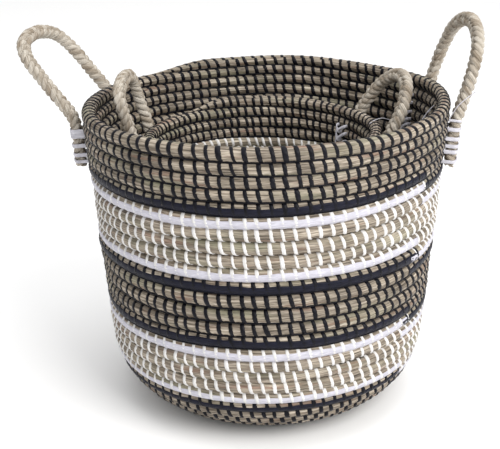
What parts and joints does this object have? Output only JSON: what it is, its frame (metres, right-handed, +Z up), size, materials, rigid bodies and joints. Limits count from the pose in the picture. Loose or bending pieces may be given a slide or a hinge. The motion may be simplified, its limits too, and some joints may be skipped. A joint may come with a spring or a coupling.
{
  "type": "laundry basket",
  "caption": "Nested pair of round coiled seagrass baskets with sewn black and white bands and plaited rope loop handles; the smaller basket lifts out.",
  "frame": {"origin": "middle of the outer basket's flat underside", "axes": "+Z up; X runs from the left handles (-X) to the right handles (+X); -Y is the front"},
  "size_m": [0.5116, 0.4004, 0.4281],
  "materials": {
    "seagrass": "matt dry grass, bundled lengthwise",
    "black_strand": "glossy flat strand",
    "white_strand": "satin flat strand",
    "rope": "matt plaited rope",
    "white_cord": "satin flat cord"
  },
  "bodies": {
    "outer_basket": {"outer_wall_coil": "seagrass", "outer_floor_coil": "seagrass", "outer_black_stitches_rim": "black_strand", "outer_white_stitches_high": "white_strand", "outer_black_stitches_middle": "black_strand", "outer_white_stitches_low": "white_strand", "outer_black_stitches_base": "black_strand", "outer_black_strip_1": "black_strand", "outer_black_strip_2": "black_strand", "outer_black_strip_3": "black_strand", "outer_black_strip_4": "black_strand", "outer_white_strip_1": "white_strand", "outer_white_strip_2": "white_strand", "outer_white_strip_3": "white_strand", "outer_white_strip_4": "white_strand", "outer_left_front_foot": "rope", "outer_left_rear_foot": "rope", "outer_right_front_foot": "rope", "outer_right_rear_foot": "rope", "outer_left_front_lashings": "white_cord", "outer_left_rear_lashings": "white_cord", "outer_right_front_lashings": "white_cord", "outer_right_rear_lashings": "white_cord"},
    "inner_basket": {"inner_wall_coil": "seagrass", "inner_floor_coil": "seagrass", "inner_black_stitches_rim": "black_strand", "inner_white_stitches_high": "white_strand", "inner_black_stitches_middle": "black_strand", "inner_white_stitches_low": "white_strand", "inner_black_stitches_base": "black_strand", "inner_black_strip_1": "black_strand", "inner_black_strip_2": "black_strand", "inner_black_strip_3": "black_strand", "inner_black_strip_4": "black_strand", "inner_white_strip_1": "white_strand", "inner_white_strip_2": "white_strand", "inner_white_strip_3": "white_strand", "inner_white_strip_4": "white_strand", "inner_left_front_foot": "rope", "inner_left_rear_foot": "rope", "inner_right_front_foot": "rope", "inner_right_rear_foot": "rope", "inner_left_front_lashings": "white_cord", "inner_left_rear_lashings": "white_cord", "inner_right_front_lashings": "white_cord", "inner_right_rear_lashings": "white_cord"},
    "outer_left_handle": {"outer_left_handle_loop": "rope"},
    "outer_right_handle": {"outer_right_handle_loop": "rope"},
    "inner_left_handle": {"inner_left_handle_loop": "rope"},
    "inner_right_handle": {"inner_right_handle_loop": "rope"}
  },
  "joints": [
    {"name": "outer_left_handle_hinge", "type": "hinge", "parent": "outer_basket", "child": "outer_left_handle", "pos_m": [-0.1984, 0.06085, 0.3227], "axis": [-0.2932, -0.956, 0], "range_deg": [-41, 49]},
    {"name": "outer_right_handle_hinge", "type": "hinge", "parent": "outer_basket", "child": "outer_right_handle", "pos_m": [0.19802, 0.02677, 0.3279], "axis": [-0.134, 0.991, 0], "range_deg": [-17, 73]},
    {"name": "inner_basket_lift", "type": "slide", "parent": "outer_basket", "child": "inner_basket", "axis": [0, 0, 1], "range_m": [0, 0.37]},
    {"name": "inner_left_handle_hinge", "type": "hinge", "parent": "inner_basket", "child": "inner_left_handle", "pos_m": [-0.13589, 0.00723, 0.294], "axis": [-0.055, -0.9985, 0], "range_deg": [-16, 11]},
    {"name": "inner_right_handle_hinge", "type": "hinge", "parent": "inner_basket", "child": "inner_right_handle", "pos_m": [0.12208, 0.03882, 0.2984], "axis": [-0.2932, 0.956, 0], "range_deg": [-31, 5]}
  ]
}
